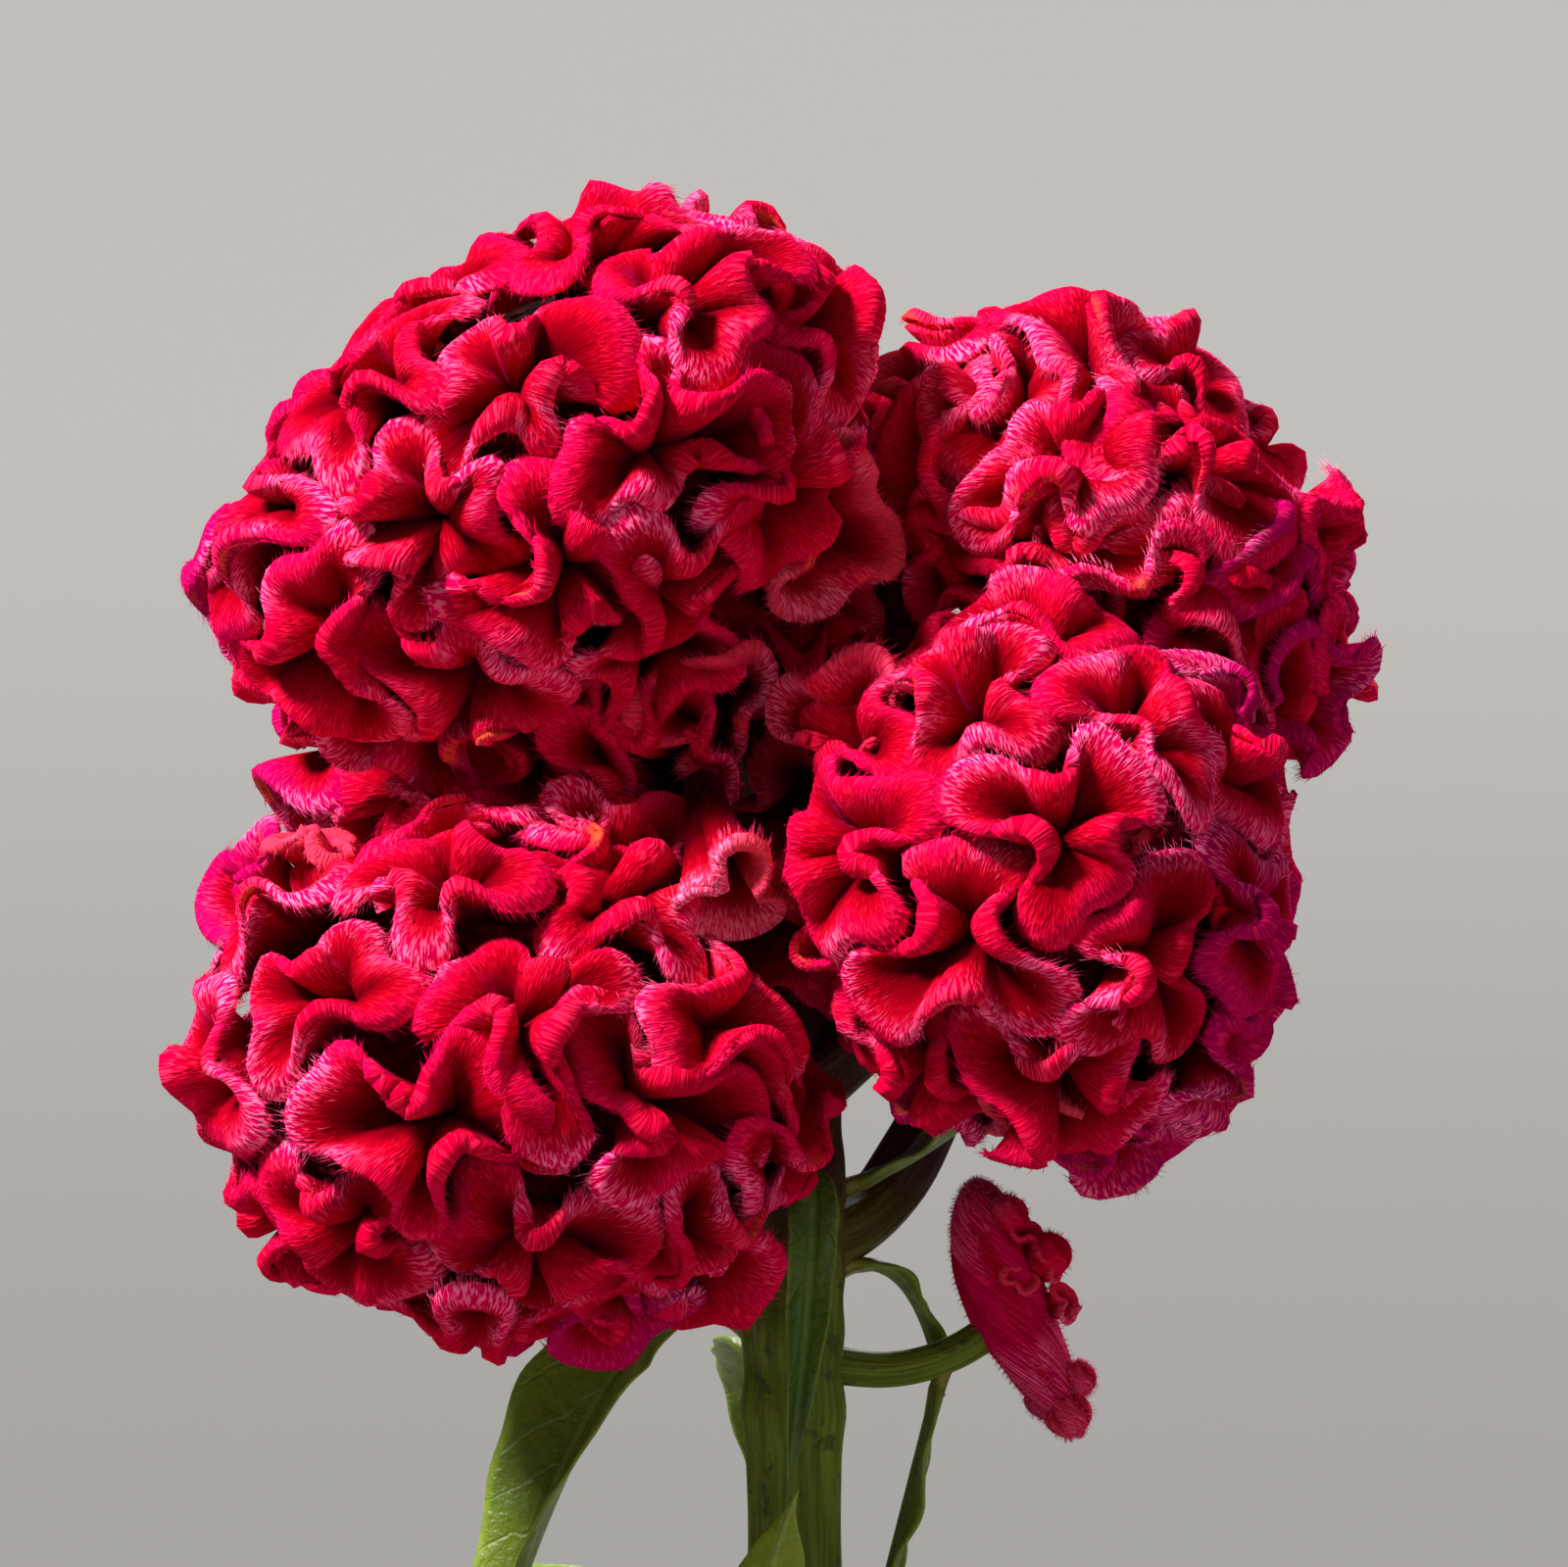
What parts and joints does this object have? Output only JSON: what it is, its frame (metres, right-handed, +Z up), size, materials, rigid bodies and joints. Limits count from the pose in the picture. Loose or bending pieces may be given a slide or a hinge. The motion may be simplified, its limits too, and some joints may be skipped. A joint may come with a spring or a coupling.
{
  "type": "potted crested celosia",
  "caption": "Potted cockscomb celosia: a crimson, brain-like ruffled flower head on a ribbed stem with lance-shaped leaves, in a plain terracotta pot with soil.",
  "frame": {"origin": "centre of the pot's underside", "axes": "+Z up along the stem; the side seen in the picture faces -Y, with +X to its right"},
  "size_m": [0.1605, 0.1467, 0.3086],
  "materials": {
    "terracotta": "matte",
    "potting_soil": "matte",
    "stem_green": "satin",
    "leaf_green": "satin",
    "crest_velvet": "matte"
  },
  "bodies": {
    "root": {"pot": "terracotta", "soil": "potting_soil", "stem": "stem_green", "crest_upper_left": "crest_velvet", "crest_upper_right": "crest_velvet", "crest_right": "crest_velvet", "crest_lower_left": "crest_velvet", "crest_back_left": "crest_velvet", "crest_back_right": "crest_velvet", "crest_middle": "crest_velvet", "crest_side": "crest_velvet", "leaf_01": "leaf_green", "leaf_02": "leaf_green", "leaf_03": "leaf_green", "leaf_04": "leaf_green", "leaf_05": "leaf_green", "leaf_06": "leaf_green", "leaf_07": "leaf_green", "leaf_08": "leaf_green", "leaf_09": "leaf_green", "leaf_10": "leaf_green", "leaf_11": "leaf_green", "leaf_12": "leaf_green", "leaf_13": "leaf_green"}
  },
  "joints": []
}
